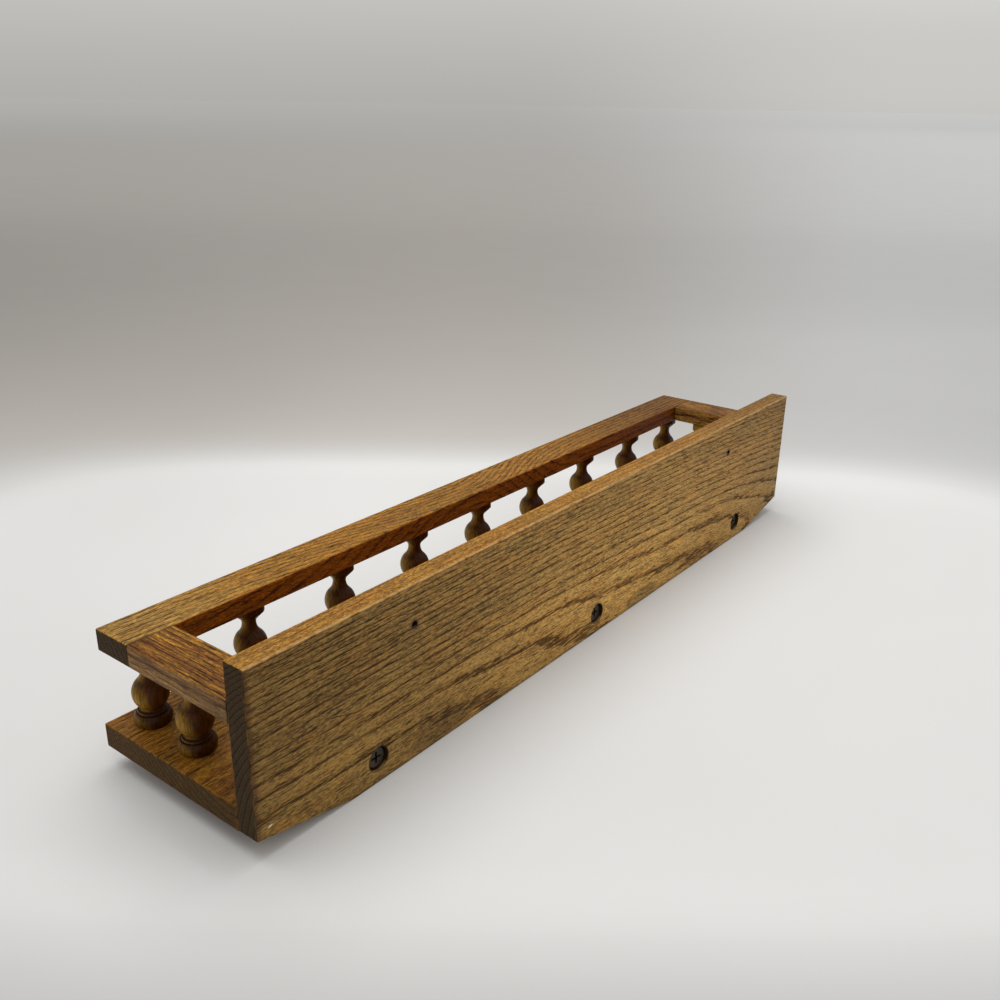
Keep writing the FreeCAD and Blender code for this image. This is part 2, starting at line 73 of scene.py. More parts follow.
class Graph:
    """One material's nodes."""

    def __init__(self, name):
        self.material = bpy.data.materials.new(name)
        self.material.use_nodes = True
        self.tree = self.material.node_tree
        self.tree.nodes.clear()
        self.out = self.node("ShaderNodeOutputMaterial")
        self.bsdf = self.node("ShaderNodeBsdfPrincipled")
        self.tree.links.new(self.bsdf.outputs[0], self.out.inputs["Surface"])
        self.coord = self.node("ShaderNodeTexCoord")
        self.geometry = self.node("ShaderNodeNewGeometry")

    def node(self, kind, **settings):
        n = self.tree.nodes.new(kind)
        for k, v in settings.items():
            setattr(n, k, v)
        return n

    def put(self, socket, value):
        if isinstance(value, Value):
            value = value.socket
        if isinstance(value, bpy.types.NodeSocket):
            self.tree.links.new(value, socket)
        else:
            socket.default_value = value

    def math(self, kind, *args, clamp=False):
        n = self.node("ShaderNodeMath", operation=kind, use_clamp=clamp)
        for s, a in zip(n.inputs, args):
            self.put(s, a)
        return Value(self, n.outputs[0])

    def position(self):
        """x, y and z in millimetres."""
        n = self.node("ShaderNodeVectorMath", operation="SCALE")
        self.tree.links.new(self.coord.outputs["Object"], n.inputs[0])
        n.inputs["Scale"].default_value = 1000.0
        s = self.node("ShaderNodeSeparateXYZ")
        self.tree.links.new(n.outputs[0], s.inputs[0])
        return [Value(self, o) for o in s.outputs]

    def normal(self):
        s = self.node("ShaderNodeSeparateXYZ")
        self.tree.links.new(self.geometry.outputs["Normal"], s.inputs[0])
        return [Value(self, o) for o in s.outputs]

    def vector(self, x, y, z):
        n = self.node("ShaderNodeCombineXYZ")
        for s, v in zip(n.inputs, (x, y, z)):
            self.put(s, v)
        return n.outputs[0]

    def noise(self, x, y, z, detail=2.0, rough=0.5, warp=0.0, colour=False):
        n = self.node("ShaderNodeTexNoise", noise_dimensions="3D")
        self.put(n.inputs["Vector"], self.vector(x, y, z))
        n.inputs["Scale"].default_value = 1.0
        n.inputs["Detail"].default_value = detail
        n.inputs["Roughness"].default_value = rough
        n.inputs["Distortion"].default_value = warp
        return n.outputs["Color"] if colour else Value(self, n.outputs["Fac"])

    def smooth(self, value, low, high, a=0.0, b=1.0):
        """a below low, b above high, with a soft step between. low may be the larger."""
        n = self.node("ShaderNodeMapRange", interpolation_type="SMOOTHSTEP")
        self.put(n.inputs["Value"], value)
        for k, v in zip(("From Min", "From Max", "To Min", "To Max"), (low, high, a, b)):
            self.put(n.inputs[k], v)
        return Value(self, n.outputs[0])

    def curve(self, value, points, low, high):
        """A smooth curve through (value, result) points; the results lie from low to high."""
        first, last = points[0][0], points[-1][0]
        n = self.node("ShaderNodeFloatCurve")
        c = n.mapping.curves[0]
        scaled = [((x - first) / (last - first), (y - low) / (high - low)) for x, y in points]
        c.points[0].location, c.points[1].location = scaled[0], scaled[-1]
        for p in scaled[1:-1]:
            c.points.new(*p)
        n.mapping.update()
        self.put(n.inputs["Value"], (value - first) / (last - first))
        return Value(self, n.outputs[0]) * (high - low) + low

    def mix(self, fac, a, b, kind="MIX"):
        """Colours a and b mixed."""
        n = self.node("ShaderNodeMix", data_type="RGBA", blend_type=kind, clamp_factor=True)
        self.put(n.inputs[0], fac)
        for i, c in ((6, a), (7, b)):
            if isinstance(c, tuple) and len(c) == 3:
                c = (*c, 1.0)
            self.put(n.inputs[i], c)
        return n.outputs[2]

    def times(self, colour, factor):
        """A colour made lighter or darker by a number."""
        n = self.node("ShaderNodeVectorMath", operation="SCALE")
        self.put(n.inputs[0], colour)
        self.put(n.inputs["Scale"], factor)
        return n.outputs[0]

    def hue(self, colour, shift, saturation, value):
        n = self.node("ShaderNodeHueSaturation")
        self.put(n.inputs["Hue"], shift)
        self.put(n.inputs["Saturation"], saturation)
        self.put(n.inputs["Value"], value)
        self.put(n.inputs["Color"], colour)
        return n.outputs[0]

    def minimum(self, *v):
        out = v[0]
        for o in v[1:]:
            out = self.math("MINIMUM", out, o)
        return out

    def maximum(self, *v):
        out = v[0]
        for o in v[1:]:
            out = self.math("MAXIMUM", out, o)
        return out

    def middle(self, a, b, c):
        """The middle of three: on a box, with distances to its faces, it is how far the nearest edge is."""
        low, high = self.minimum(a, b), self.maximum(a, b)
        return self.maximum(low, self.minimum(high, c))

    def spot(self, u, v, cu, cv, ru, rv):
        """1 in the middle of an oval and 0 at its rim."""
        d = ((u - cu) / ru) ** 2.0 + ((v - cv) / rv) ** 2.0
        return self.smooth(d, 1.0, 0.0)

    def bump(self, height, distance):
        n = self.node("ShaderNodeBump")
        n.inputs["Strength"].default_value = 1.0
        n.inputs["Distance"].default_value = distance
        self.put(n.inputs["Height"], height)
        self.tree.links.new(n.outputs[0], self.bsdf.inputs["Normal"])

    def finish(self, colour, roughness, **fixed):
        self.put(self.bsdf.inputs["Base Color"], colour)
        self.put(self.bsdf.inputs["Roughness"], roughness)
        for k, v in fixed.items():
            self.bsdf.inputs[k.replace("_", " ")].default_value = v
        return self.material


def srgb(r, g, b):
    """A colour given as 0 to 255 display values, in the renderer's linear values."""
    return tuple(
        (c / 255 / 12.92) if c / 255 <= 0.04045 else ((c / 255 + 0.055) / 1.055) ** 2.4
        for c in (r, g, b)
    )


# ----------------------------------------------------------------------------
# Oak
# ----------------------------------------------------------------------------


def box_distances(g, p, low, high):
    """Distance in mm from p to the nearer of the two faces across each axis."""
    return [
        g.math("ABSOLUTE", g.minimum(v - lo, hi - v)) for v, lo, hi in zip(p, low, high)
    ]


def oak(name, field, box, axis, light, mid, dark, spread=0.30, line_gain=0.20, tone_gain=1.0,
        stripe=0.0, stripe_colour=(0.1, 0.04, 0.015), broken=None, heavy=None, end_gain=1.0,
        tilt=None, extra=None, rough=0.52):
    """Solid oak: the ring field gives each point its place in the trunk, so lines on the
    faces run on into the edges and the ends.

    field(g, x, y, z) gives a, r, t in mm (along the grain, out from the heart, and round
    it) and n, the ring number. light, mid and dark are the latewood, the earlywood and the
    stain lying in the pores. stripe adds wide streaks of stripe_colour along the grain, and
    broken(g, nrm) says where the rows of pores are cut into specks. extra(g, p, nrm, colour,
    edge, height) adds one board's own marks."""
    g = Graph(name)
    p = g.position()
    nrm = g.normal()
    a, r, t, n = field(g, *p)

    # Rings wander a little, and each row of pores is ragged.
    n = n + (g.noise(a / 70, r / 11, t / 11, detail=1.0) - 0.5) * 0.5
    ragged = n + (g.noise(a / 20, r / 1.7, t / 1.7, detail=2.0) - 0.5) * 0.55
    f = g.math("FRACT", ragged)
    # Earlywood starts at a sharp line and thins out into latewood.
    row = g.smooth(f, 0.02 + spread, 0.02) * g.smooth(f, 0.0, 0.035)
    broad_row = g.smooth(g.math("FRACT", n), 0.62, 0.05)

    # Vessels: long thin channels, cut as dashes on the faces and as dots on the ends.
    # They follow the board, while the rings cross it at a slant, so a ring shows as a
    # ladder of short strokes.
    c1, c2 = p[2], p[1 - axis]
    if tilt:
        c1 = c1 + tilt(g, p)
    vessels = g.noise(a / 7.5, c1 / 0.68, c2 / 0.68, detail=2.0, rough=0.55)
    second = g.noise(a / 6.5 + 31, c1 / 0.72, c2 / 0.72, detail=2.0, rough=0.6)
    specks = g.noise(a / 1.9 + 3, c1 / 0.45, c2 / 0.45, detail=2.0, rough=0.6)
    strokes = g.noise(a / 16 + 17, c1 / 0.95, c2 / 0.95, detail=2.0, rough=0.6)
    fine = g.noise(a / 1.5 + 53, c1 / 0.40, c2 / 0.40, detail=1.0)
    gain = line_gain
    if heavy:
        gain = heavy(g, p) * 0.12 + gain
    if broken:
        cut = broken(g, nrm)
        gain = (1.0 - cut * 0.62) * gain
    dash = g.smooth(row * gain + vessels, 0.57, 0.70)
    small = g.smooth(second + row * 0.10, 0.54, 0.69) * 0.62
    if broken:
        dash = dash * (1.0 - cut * 0.55)
        small = g.maximum(small, g.smooth(specks + row * 0.06, 0.51, 0.63) * cut * 0.9)
    # Rays: sheets thin round the trunk and long outwards, so they are fine dashes on
    # plain faces, flakes on quartered ones and hair lines on the ends.
    rays = g.smooth(g.noise(a / 2.6 + 7, r / 8, t / 0.2, detail=1.0), 0.60, 0.72)
    fibre = g.noise(a / 9, c1 / 0.16, c2 / 0.16, detail=2.0)
    tone = g.noise(a / 85, r / 13, t / 13, detail=2.0)
    patch = g.noise(a / 24, r / 4, t / 4, detail=2.0)

    colour = g.mix(broad_row * 0.75, light, mid)
    colour = g.mix(small, colour, g.times(dark, 1.6))
    colour = g.mix(dash * 0.92, colour, dark)
    colour = g.mix(rays * 0.26, colour, g.times(dark, 1.2))
    if stripe:
        streaks = g.noise(r / 1.5 + 11, t / 7, a / 170, detail=3.0, rough=0.6)
        colour = g.mix(g.smooth(streaks, 0.47, 0.62) * stripe, colour, stripe_colour)
    if callable(tone_gain):
        tone_gain = tone_gain(g, p)
    shade = 1.0 + (
        (tone - 0.5) * 0.5 + (patch - 0.5) * 0.5 + (fibre - 0.5) * 0.8 + (specks - 0.5) * 1.6
        + (strokes - 0.5) * 1.1 + (fine - 0.5) * 2.2
    ) * tone_gain
    colour = g.times(colour, g.minimum(g.maximum(shade, 0.50), 1.42))
    # Some streaks are redder, others greener, as stain takes unevenly.
    warm = g.smooth(g.noise(a / 30 + 90, r / 5, t / 5, detail=1.0), 0.42, 0.66)
    colour = g.mix(warm * 0.5, colour, g.mix(1.0, colour, (1.08, 0.93, 0.80), "MULTIPLY"))

    # Ends drink the stain and go dark and grey.
    on_end = g.smooth(g.math("ABSOLUTE", nrm[axis]), 0.55, 0.85)
    fine_ring = g.math("FRACT", ragged * 2.0)
    end_line = g.smooth(f, 0.42, 0.1) * g.smooth(f, 0.0, 0.06)
    end_line = g.maximum(end_line, g.smooth(fine_ring, 0.5, 0.1) * g.smooth(fine_ring, 0.0, 0.08) * 0.6)
    dots = g.smooth(g.noise(r / 0.5 + 4, t / 0.5, a / 30, detail=2.0), 0.50, 0.64)
    hairs = g.smooth(g.noise(r / 9, t / 0.45, a / 40, detail=1.0), 0.52, 0.66)
    saw = g.noise(p[0] / 40 + p[1] / 1.1, p[2] / 14, p[1] / 3, detail=3.0)
    end_colour = g.mix(end_line * (specks * 1.1 - 0.02) + dots * 0.45, srgb(66, 49, 22), srgb(22, 13, 3))
    end_colour = g.mix(hairs * 0.25, end_colour, srgb(86, 62, 32))
    end_colour = g.mix(g.smooth(patch, 0.42, 0.66) * 0.6, end_colour, g.mix(1.0, end_colour, (1.25, 0.86, 0.66), "MULTIPLY"))
    end_colour = g.times(end_colour, (0.50 + saw * 0.55 + tone * 0.3 + (specks - 0.5) * 1.5 + (fine - 0.5) * 0.8) * end_gain)
    colour = g.mix(on_end, colour, end_colour)

    # Arrises rubbed paler in places.
    edge = g.middle(*box_distances(g, p, *box))
    along = (p[0] + p[1] + p[2]) / 7
    rubbed = g.smooth(edge, 1.0, 0.1) * g.smooth(g.noise(along, p[1] / 5, p[2] / 5, detail=3.0), 0.42, 0.62)
    colour = g.mix(rubbed * 0.30, colour, g.times(light, 1.25))

    height = (
        specks * 0.10 + fibre * 0.16 + patch * 0.10 - dash * 0.62 - small * 0.45 - rays * 0.08
        + g.smooth(f, 0.1, 0.9) * 0.12
    )
    if extra:
        colour, height = extra(g, p, nrm, colour, edge, height)
    g.bump(height, 0.00022)
    roughness = rough + dash * 0.16 + (fibre - 0.5) * 0.12 - g.smooth(f, 0.2, 0.9) * 0.06 + on_end * 0.12
    return g.finish(colour, roughness, IOR=1.45, Specular_IOR_Level=0.13)


REAR, BACK_TOP, HALF = 43.0, 73.5, 203.2


def back_field(g, x, y, z):
    """The heart lies level with the lower edge, 50 mm out from the rear face, so the lines
    on the rear face crowd together upwards. They run level on the left, and to the right
    they dive, the lower ones first and fastest."""
    u = HALF - x
    v = REAR - y
    shift = g.curve(
        u,
        [(0, 0.28), (20, 0.28), (60, 0.19), (100, 0.17), (150, 0.27), (200, 0.64), (250, 1.27),
         (300, 1.87), (340, 2.42), (380, 3.32), (406.4, 4.02)],
        0.0, 4.2,
    )
    dive = g.curve(
        u,
        [(0, 0.0), (20, 0.02), (60, 0.27), (100, 0.65), (150, 1.17), (200, 1.50), (250, 1.34), (300, 1.06),
         (340, 0.90), (380, 1.06), (406.4, 1.08)],
        0.0, 1.8,
    )
    square = z ** 2.0 + (v + 50.0) ** 2.0
    n = (square - 2500.0) / 315.0 + shift + dive * g.smooth(z, 44.0, 8.0)
    r = g.math("SQRT", g.maximum(n * 315.0 + 2500.0, 1.0))
    t = g.math("ARCTAN2", z, v + 50.0) * 70.0
    return u, r, t, n


def shelf_field(g, x, y, z):
    """The heart lies above the rear edge: plain lines at the back, closer ones in front."""
    dy, dz = 27.0 - y, 64.0 - z
    bend = g.noise(x / 130, 4.0, 2.0, detail=1.0) * 16.0
    square = (dy + bend) ** 2.0 + dz ** 2.0
    r = g.math("SQRT", square)
    t = g.math("ARCTAN2", dy + bend, dz) * 60.0
    return x, r, t, square / 310.0


def front_rail_field(g, x, y, z):
    """Lines dip in one long tongue near the middle."""
    u = HALF - x
    v = -20.7 - y  # 0 on the inner face
    left = g.math("EXPONENT", -(((u - 190.0) / 85.0) ** 2.0))
    right = g.math("EXPONENT", -(((u - 190.0) / 52.0) ** 2.0))
    side = g.smooth(u, 188.0, 192.0)
    dip = (left * (1.0 - side) + right * side) * 27.0
    s = v + dip + (59.0 - z) * 0.55 + u * 0.01
    t = (59.0 - z) - v * 0.55
    return u, s, t, s / 2.9


def side_rail_field(g, x, y, z):
    s = x + (z * 0.34) + g.noise(y / 45, x / 40, 1.0, detail=1.0) * 2.4
    return y, s, z - x * 0.34, s / 2.35


def back_marks(g, p, nrm, colour, edge, height):
    """Weathering on the rear face: dark smudges low down, stain round the hanger holes,
    a darker left arris and two pale flecks."""
    x, y, z = p
    u = HALF - x
    rear = g.smooth(nrm[1], 0.5, 0.8)
    top = g.smooth(nrm[2], 0.5, 0.8)
    # The rear face is darker towards the left end and slightly at the right end, lighter in two low patches and
    # darker high up from the middle on; the top edge is more golden and darker towards the right end.
    tone_along = g.curve(
        u, [(0, 0.58), (34, 0.65), (101, 0.83), (169, 1.07), (237, 1.22), (305, 1.21), (373, 1.07), (406.4, 0.98)],
        0.0, 1.3,
    )
    tone_along = tone_along * (1.0 + g.spot(u, z, 28.0, 15.0, 50.0, 19.0) * 0.18 + g.spot(u, z, 195.0, 22.0, 120.0, 26.0) * 0.26)
    tone_along = tone_along * (1.0 - g.smooth(z, 50.0, 70.0) * g.smooth(u, 110.0, 260.0) * 0.17) * g.smooth(u, 360.0, 406.0, 1.0, 0.90)
    colour = g.mix(rear, colour, g.times(colour, tone_along))
    gold = g.times(g.mix(1.0, colour, (1.10, 0.93, 0.50), "MULTIPLY"), g.smooth(u, 250.0, 400.0, 0.97, 0.72))
    colour = g.mix(top, colour, g.mix(g.smooth(u, 240.0, 400.0) * 0.4, gold, g.mix(1.0, colour, (0.68, 0.66, 0.56), "MULTIPLY")))
    cloud = g.noise(u / 11, z / 5, 3.0, detail=4.0, rough=0.65)
    streak = g.noise(u / 20, z / 1.1, 9.0, detail=3.0, rough=0.6)
    smudge = g.maximum(
        g.spot(u, z, 91.0, 5.0, 26.0, 10.0),
        g.spot(u, z, 245.0, 3.0, 22.0, 9.0) * 0.9,
        g.spot(u, z, 391.0, 8.0, 24.0, 9.0) * 0.8,
        g.spot(u, z, 150.0, -1.0, 60.0, 6.0) * 0.5,
        g.spot(u, z, 310.0, -2.0, 90.0, 5.0) * 0.45,
        g.spot(u, z, 153.0, 12.5, 15.0, 4.0) * 0.6,
        g.spot(u, z, 172.0, 7.0, 14.0, 4.0) * 0.5,
        g.spot(u, z, 346.0, 3.0, 14.0, 4.5) * 0.6,
    )
    smudge = g.smooth(smudge * 0.75 + (cloud - 0.5) * 0.9 + (streak - 0.5) * 0.7, 0.25, 0.75) * rear
    colour = g.mix(smudge * 0.62, colour, g.mix(1.0, colour, (0.40, 0.40, 0.46), "MULTIPLY"))
    # Stain round the two hanger holes.
    halo = g.maximum(
        g.spot(u, z, HALF + 0.9 - 127.4, 57.2, 3.4, 3.4), g.spot(u, z, HALF + 0.9 + 127.4, 57.2, 3.4, 3.4)
    )
    colour = g.mix(halo * rear * 0.6, colour, srgb(74, 58, 50))
    # The holes are painted near black inside: stain and painted shade in them.
    hole_stain_and_shade = g.maximum(
        g.spot(u, z, HALF + 0.9 - 127.4, 57.2, 2.1, 2.1), g.spot(u, z, HALF + 0.9 + 127.4, 57.2, 2.1, 2.1)
    )
    colour = g.mix(g.smooth(hole_stain_and_shade, 0.15, 0.5), colour, srgb(44, 20, 14))
    # Walls of the screw recesses are raw and painted dark: partly dirt, partly painted shade inside the recesses.
    near = g.minimum(*[
        g.math("SQRT", (u - c) ** 2.0 + (z - 10.1) ** 2.0) for c in (56.2, 203.0, 349.8)
    ])
    recess_dirt_and_shade = g.smooth(near, 5.5, 4.95)
    colour = g.mix(recess_dirt_and_shade * 0.85, colour, srgb(44, 31, 18))
    # A knot's edge by the right-hand end, and two short checks that branch off the grain.
    knot = g.spot(u, z, 402.0, 12.0, 3.4, 2.8)
    colour = g.mix(knot * rear * 0.75, colour, srgb(44, 28, 18))
    checks = g.maximum(
        g.spot(u + (z - 36.5) * 1.4, z - 36.9 + (u - 41.0) * 0.32, 41.0, 0.0, 6.5, 0.34),
        g.spot(u + (z - 63.0) * 1.2, z - 63.2 + (u - 72.0) * 0.26, 72.0, 0.0, 6.0, 0.34),
    ) * rear
    colour = g.mix(checks * 0.7, colour, srgb(46, 30, 16))
    # Left arris of the rear face is red-dark, the right one slightly so.
    left = g.smooth(u + (cloud - 0.5) * 3.0, 2.6, 0.4) * rear
    colour = g.mix(left * 0.6, colour, srgb(62, 34, 22))
    # The upper rear arris is pale, partly rubbed wear and partly a painted highlight, and the lower edge is darker
    # towards the bottom.
    crest_wear_and_highlight = g.smooth(z, BACK_TOP - 1.1, BACK_TOP - 0.2) * rear + g.smooth(y, REAR - 1.5, REAR - 0.3) * top
    crest_wear_and_highlight = crest_wear_and_highlight * g.smooth(g.noise(u / 5, 1.0, 2.0, detail=3.0), 0.34, 0.56)
    colour = g.mix(crest_wear_and_highlight * 0.5, colour, srgb(196, 158, 104))
    low = g.smooth(z + (cloud - 0.5) * 3.0, 2.2, 0.2) * rear
    colour = g.mix(low * 0.45, colour, srgb(60, 46, 34))
    # Two pale flecks of old paint.
    fleck = g.maximum(
        g.spot(u + z * 0.5, z - u * 0.3, 5.6 + 6.1, 12.2 - 1.7, 1.5, 0.55),
        g.spot(u - z * 0.9, z + u * 0.9, 292.0 - 15.8, 17.6 + 262.8, 0.6, 1.3),
    )
    colour = g.mix(fleck * rear, colour, srgb(226, 212, 180))
    height = height + smudge * (streak - 0.5) * 0.5 - checks * 0.8
    return colour, height


def shelf_marks(g, p, nrm, colour, edge, height):
    """Painted shade where the back board meets the shelf, and a soft bloom of wear."""
    x, y, z = p
    top = g.smooth(nrm[2], 0.5, 0.8)
    cloud = g.noise(x / 16, y / 8, 3.0, detail=4.0, rough=0.6)
    # Painted shade: the shelf top darkens towards the back board.
    corner_painted_shade = g.smooth(33.2 - y + (cloud - 0.5) * 7.0, 9.0, 0.0) * top
    colour = g.mix(1.0, colour, (0.84, 0.785, 0.48), "MULTIPLY")
    colour = g.mix(corner_painted_shade * 0.6, colour, g.mix(1.0, colour, (0.45, 0.42, 0.40), "MULTIPLY"))
    return colour, height


def front_marks(g, p, nrm, colour, edge, height):
    """The top of the front rail is paler at the near end and darker at the far one; its
    inner face is painted darker and redder, as painted shade and painted red reflected light."""
    x, y, z = p
    u = HALF - x
    top = g.smooth(nrm[2], 0.5, 0.8)
    inner_shade_and_reflection = g.smooth(nrm[1], 0.5, 0.8)
    blotch = g.noise(u / 26, y / 5, 4.0, detail=3.0, rough=0.6)
    # Along the top the rail is paler towards the near end and darker towards the far one.
    tone_along = g.curve(
        u, [(0, 1.26), (35, 1.22), (100, 1.08), (170, 0.97), (240, 1.05), (290, 0.88), (340, 0.66), (406.4, 0.58)],
        0.5, 1.5,
    )
    far = g.smooth(u, 180.0, 380.0)
    gold = g.mix(1.0, colour, (1.0, 0.97, 0.62), "MULTIPLY")
    gold = g.mix(far, gold, g.mix(1.0, gold, (0.98, 0.88, 0.60), "MULTIPLY"))
    near_end_pale = g.smooth(u + (blotch - 0.5) * 60.0, 80.0, 10.0)
    gold = g.mix(near_end_pale * 0.9, gold, g.mix(1.0, colour, (0.94, 1.14, 1.60), "MULTIPLY"))
    gold = g.times(gold, tone_along * (0.62 + blotch * 0.76))
    colour = g.mix(top, colour, gold)
    # Painted shade and painted reflection: the inner face is darker and redder, more so towards the far end.
    colour = g.mix(inner_shade_and_reflection, colour, g.mix(1.0, colour, (0.88, 0.50, 0.20), "MULTIPLY"))
    colour = g.mix(inner_shade_and_reflection * far, colour, g.mix(1.0, colour, (0.82, 0.76, 0.30), "MULTIPLY"))
    # Old glue and dirt where the side rails butt against it.
    joint = g.smooth(y, -21.5, -20.9) * g.smooth(g.math("ABSOLUTE", x), 183.0, 184.2)
    colour = g.mix(joint * 0.7, colour, srgb(38, 24, 14))
    return colour, height


def side_marks(g, p, nrm, colour, edge, height):
    """Both butt joints are dark, and the outer face is weathered grey-brown."""
    x, y, z = p
    top = g.smooth(nrm[2], 0.5, 0.8)
    outer = g.smooth(g.math("ABSOLUTE", nrm[0]), 0.5, 0.8) * g.smooth(g.math("ABSOLUTE", x), 195.0, 200.0)
    streak = g.noise(y / 34, x / 2.4, z / 2.4, detail=3.0, rough=0.6)
    blotch = g.noise(y / 12, x / 5, z / 5 + 7, detail=3.0, rough=0.6)
    golden = g.smooth(streak, 0.45, 0.56)
    tint = g.mix(golden, g.mix(1.0, colour, (0.62, 0.48, 0.20), "MULTIPLY"), g.mix(1.0, colour, (1.10, 1.02, 0.44), "MULTIPLY"))
    hair = g.noise(y / 9, x / 0.7, z / 0.7 + 4, detail=2.0, rough=0.6)
    colour = g.mix(top, colour, g.times(tint, blotch * 1.0 + hair * 1.8 - 0.54))
    grey = g.mix(0.45, colour, srgb(112, 86, 58))
    thread = g.noise(y / 8, x / 0.5, z / 0.5, detail=2.0, rough=0.65)
    shade = blotch * 0.8 + streak * 0.5 + thread * 2.8 - 0.92
    colour = g.mix(outer, colour, g.times(grey, shade * g.smooth(y, 32.0, 22.0, 0.80, 1.0)))
    joint = g.maximum(g.smooth(y, -20.0, -20.6), g.smooth(y, 32.3, 33.0))
    colour = g.mix(joint * 0.65, colour, srgb(38, 24, 14))
    return colour, height


OAK_BACK = oak(
    "aged_oak_back", back_field, ((-HALF, 33.2, 0.0), (HALF, REAR, BACK_TOP)), 0,
    srgb(160, 124, 64), srgb(143, 107, 52), srgb(78, 52, 18), extra=back_marks, line_gain=0.22,
    tone_gain=lambda g, p: g.smooth(HALF - p[0], 120.0, 400.0, 1.25, 0.75),
    broken=lambda g, nrm: g.smooth(nrm[2], 0.5, 0.8),
    heavy=lambda g, p: g.maximum(
        g.spot(HALF - p[0], p[2] + (HALF - p[0]) * 0.14, 150.0, 41.0, 75.0, 13.0),
        g.spot(HALF - p[0], p[2], 60.0, 58.0, 80.0, 16.0) * 0.7,
        g.spot(HALF - p[0], p[2], 300.0, 21.0, 60.0, 8.0) * 0.5,
    ),
    tilt=lambda g, p: g.smooth(HALF - p[0], 230.0, 440.0) * 17.0,
)
OAK_SHELF = oak(
    "aged_oak_shelf", shelf_field, ((-HALF, -43.0, 8.3), (HALF, 33.2, 18.1)), 0,
    srgb(148, 106, 44), srgb(124, 82, 29), srgb(64, 38, 12), extra=shelf_marks,
    stripe=0.35, stripe_colour=srgb(92, 52, 18), line_gain=0.15, end_gain=1.85,
)
OAK_FRONT = oak(
    "aged_oak_front_rail", front_rail_field, ((-HALF, -40.0, 50.1), (HALF, -20.7, 59.0)), 0,
    srgb(146, 105, 41), srgb(124, 83, 29), srgb(66, 38, 10), stripe=0.25, stripe_colour=srgb(104, 62, 22),
    extra=front_marks, line_gain=0.17,
)
OAK_SIDE_R = oak(
    "aged_oak_side_rail_right", side_rail_field, ((183.9, -20.7, 50.1), (HALF, 33.2, 59.0)), 1,
    srgb(154, 114, 52), srgb(126, 82, 34), srgb(58, 28, 9), line_gain=0.22,
    stripe=0.6, stripe_colour=srgb(96, 52, 20), extra=side_marks,
)
OAK_SIDE_L = oak(
    "aged_oak_side_rail_left", side_rail_field, ((-HALF, -20.7, 50.1), (-183.9, 33.2, 59.0)), 1,
    srgb(154, 114, 52), srgb(126, 82, 34), srgb(58, 28, 9), line_gain=0.22,
    stripe=0.6, stripe_colour=srgb(96, 52, 20), extra=side_marks,
)


# ----------------------------------------------------------------------------
# Turned spindles
# ----------------------------------------------------------------------------


def turned_wood(name, cx, cy, turn):
    """Close-grained wood turned on a lathe: grain runs up the spindle, stain has
    gathered in the grooves and on end grain, and a satin finish catches the light."""
    g = Graph(name)
    x, y, z = g.position()
    nrm = g.normal()
    dx, dy = x - cx, y - cy
    ca, sa = math.cos(turn), math.sin(turn)
    px, py = dx * ca + dy * sa, dy * ca - dx * sa
    rings = px * 0.9 + (g.noise(px / 6, py / 6, z / 30, detail=2.0) - 0.5) * 3.0
    f = g.math("FRACT", rings / 1.5)
    band = g.smooth(f, 0.55, 0.08) * g.smooth(f, 0.0, 0.06)
    streak = g.noise(px / 0.7, py / 0.7, z / 11, detail=3.0, rough=0.6)
    pores = g.smooth(g.noise(px / 0.25 + 5, py / 0.25, z / 2.4, detail=1.0), 0.62, 0.74)
    tone = g.noise(px / 7 + turn, py / 7, z / 16, detail=2.0)
    colour = g.mix(band * 0.55, srgb(98, 61, 16), srgb(74, 40, 8))
    colour = g.mix(g.smooth(streak, 0.40, 0.68) * 0.65, colour, srgb(46, 22, 4))
    colour = g.mix(pores * 0.5, colour, srgb(28, 13, 4))
    colour = g.times(colour, 1.0 + (tone - 0.5) * 0.8)
    # Painted light and shade: the outer, lower side, lit from the floor, is painted bright
    # golden; the side facing the rack and the upper slopes are painted dark red-brown as shade.
    side = nrm[0] * 0.90 - nrm[1] * 0.35 - nrm[2] * 0.35
    painted_lit_side = g.smooth(side + (tone - 0.5) * 0.4, 0.10, 1.05)
    colour = g.mix(painted_lit_side, g.mix(1.0, colour, (0.76, 0.56, 0.22), "MULTIPLY"), g.mix(1.0, colour, (3.2, 4.6, 3.0), "MULTIPLY"))
    foot = g.smooth(z, 25.6, 24.2)
    colour = g.mix(foot, colour, g.mix(1.0, colour, (0.60, 0.55, 0.50), "MULTIPLY"))
    # End grain shows on shoulders; there the stain is deeper.
    slope = g.math("ABSOLUTE", nrm[2])
    colour = g.mix(g.smooth(slope, 0.45, 0.98) * 0.45, colour, srgb(54, 30, 10))
    radius = g.math("SQRT", dx ** 2.0 + dy ** 2.0)
    h = z - 18.1
    groove = g.maximum(
        g.spot(h, radius, 5.0, 5.4, 0.5, 0.8), g.spot(h, radius, 6.3, 5.0, 0.5, 0.7),
        g.spot(h, radius, 7.6, 4.4, 0.8, 1.2), g.spot(h, radius, 27.5, 6.0, 0.4, 1.6),
        g.spot(h, radius, 0.0, 6.0, 0.5, 3.0), g.spot(h, radius, 32.0, 6.0, 0.6, 3.0),
    )
    colour = g.mix(groove * 0.3, colour, srgb(28, 14, 5))
    # Fine lathe rings round the body.
    lathe = g.noise(1.0, 2.0, z / 0.28, detail=2.0)
    height = streak * 0.25 - pores * 0.5 + lathe * 0.22
    g.bump(height, 0.00012)
    roughness = 0.38 + (streak - 0.5) * 0.22 + groove * 0.2
    return g.finish(colour, roughness, IOR=1.46, Specular_IOR_Level=0.17)


# ----------------------------------------------------------------------------
# Screws and dowels
# ----------------------------------------------------------------------------


